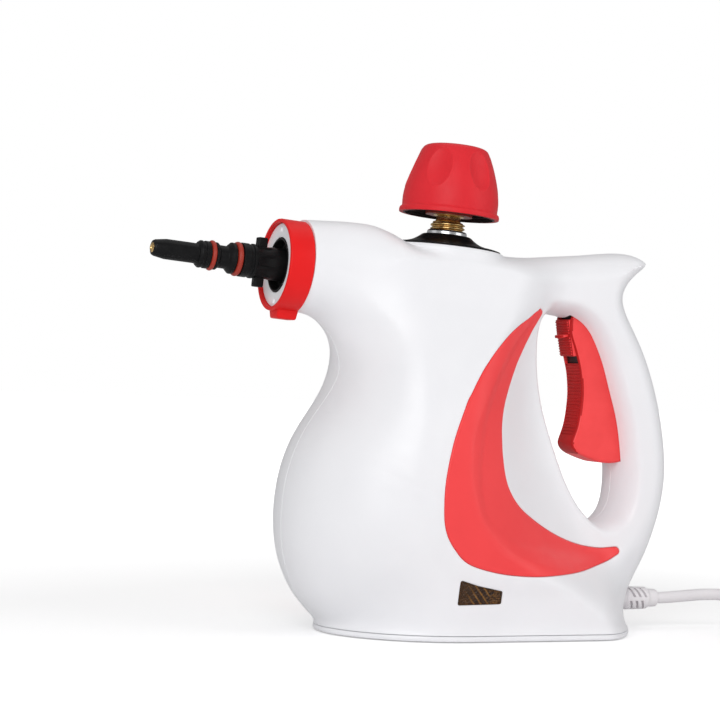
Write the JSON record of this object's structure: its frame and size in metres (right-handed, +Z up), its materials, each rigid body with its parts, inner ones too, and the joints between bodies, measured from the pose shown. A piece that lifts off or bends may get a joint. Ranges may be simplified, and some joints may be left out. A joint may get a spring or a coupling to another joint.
{
  "type": "handheld steam cleaner",
  "caption": "Hand-held pressurised steam cleaner with a tilted nozzle, screw-on pressure cap, closed handle with trigger, and power cord.",
  "frame": {"origin": "centre of the base footprint on the rest plane", "axes": "+Z up, -X along the nozzle, +X towards the handle, -Y is the left flank"},
  "size_m": [0.405, 0.1301, 0.2534],
  "materials": {
    "white_shell": "satin moulded ABS",
    "red_panel": "semi-gloss moulded ABS",
    "red_cap": "fine-grained moulded plastic",
    "black_plastic": "satin glass-filled nylon",
    "amber_lens": "translucent amber polycarbonate",
    "brass": "turned",
    "steel": "zinc plated or drawn",
    "neck_silver": "bright turned",
    "aluminium": "die cast",
    "rubber_black": "moulded",
    "rubber_red": "moulded silicone",
    "silicone": "extruded silicone",
    "cream_ceramic": "steatite",
    "wire_blue": "PVC insulation",
    "cord_white": "PVC",
    "lamp_orange": "neon indicator"
  },
  "bodies": {
    "housing": {"housing_left": "white_shell", "housing_right": "white_shell", "base_plate": "white_shell", "rubber_feet": "rubber_black", "base_screws": "steel", "housing_screws": "steel", "side_panel_left": "red_panel", "side_panel_right": "red_panel", "indicator_lens": "amber_lens", "indicator_lamp": "lamp_orange", "nozzle_bezel": "white_shell", "nozzle_tube": "black_plastic", "nozzle_tip": "brass", "o_ring_front": "rubber_red", "o_ring_rear": "rubber_red", "filler_trim": "black_plastic", "filler_neck": "neck_silver", "neck_seal": "rubber_black", "boiler_upper": "aluminium", "boiler_lower": "aluminium", "boiler_gasket": "rubber_red", "boiler_bolts": "steel", "boiler_pads": "rubber_black", "boiler_screws": "steel", "heating_element": "steel", "heater_clamp": "aluminium", "thermostat": "black_plastic", "safety_thermostat": "cream_ceramic", "thermal_fuse": "steel", "terminal_block": "cord_white", "wires": "wire_blue", "steam_hose": "silicone", "hose_clamps": "steel", "valve_body": "brass", "valve_spring": "steel", "trigger_pin": "steel", "trigger_spring": "steel", "cord_clamp": "white_shell", "strain_relief": "cord_white", "power_cord": "cord_white", "plug_body": "cord_white", "plug_pins": "steel"},
    "lock_ring_body": {"lock_ring": "red_panel"},
    "trigger_body": {"trigger": "red_panel"},
    "lock_slide_body": {"trigger_lock": "red_panel"},
    "valve_drive": {"push_rod": "black_plastic", "valve_stem": "steel"},
    "cap_lift_body": {"cap_gasket": "rubber_red"},
    "cap_body": {"cap_shell": "red_cap", "cap_carrier": "black_plastic", "cap_screws": "steel", "cap_plug": "brass", "relief_spring": "steel", "relief_retainer": "brass"},
    "relief_body": {"relief_poppet": "steel"}
  },
  "joints": [
    {"name": "ring_turn", "type": "hinge", "parent": "housing", "child": "lock_ring_body", "pos_m": [-0.11452, 0, 0.18548], "axis": [-0.9968, 0, 0.0802], "range_deg": [0, 20]},
    {"name": "trigger_squeeze", "type": "hinge", "parent": "housing", "child": "trigger_body", "pos_m": [0.05, 0, 0.176], "axis": [0, -1, 0], "range_deg": [0, 7], "deforming": ["trigger_spring"]},
    {"name": "lock_slide", "type": "slide", "parent": "trigger_body", "child": "lock_slide_body", "axis": [0.1908, 0, -0.9816], "range_m": [0, 0.004]},
    {"name": "valve_push", "type": "slide", "parent": "housing", "child": "valve_drive", "axis": [-0.9968, 0, 0.0802], "range_m": [0, 0.0016], "deforming": ["valve_spring"]},
    {"name": "cap_lift", "type": "slide", "parent": "housing", "child": "cap_lift_body", "axis": [0.0802, 0, 0.9968], "range_m": [-0.008, 0.006]},
    {"name": "cap_turn", "type": "hinge", "parent": "cap_lift_body", "child": "cap_body", "pos_m": [-0.02459, 0, 0.21837], "axis": [0.0802, 0, 0.9968], "range_deg": [-1440, 1080]},
    {"name": "relief_pop", "type": "slide", "parent": "cap_body", "child": "relief_body", "axis": [0.0802, 0, 0.9968], "range_m": [0, 0.0015], "deforming": ["relief_spring"]}
  ],
  "couplings": [
    {"joint": "valve_push", "follows": "trigger_squeeze", "m_per_rad": 0.0125},
    {"joint": "cap_lift", "follows": "cap_turn", "m_per_rad": 0.00031831}
  ]
}
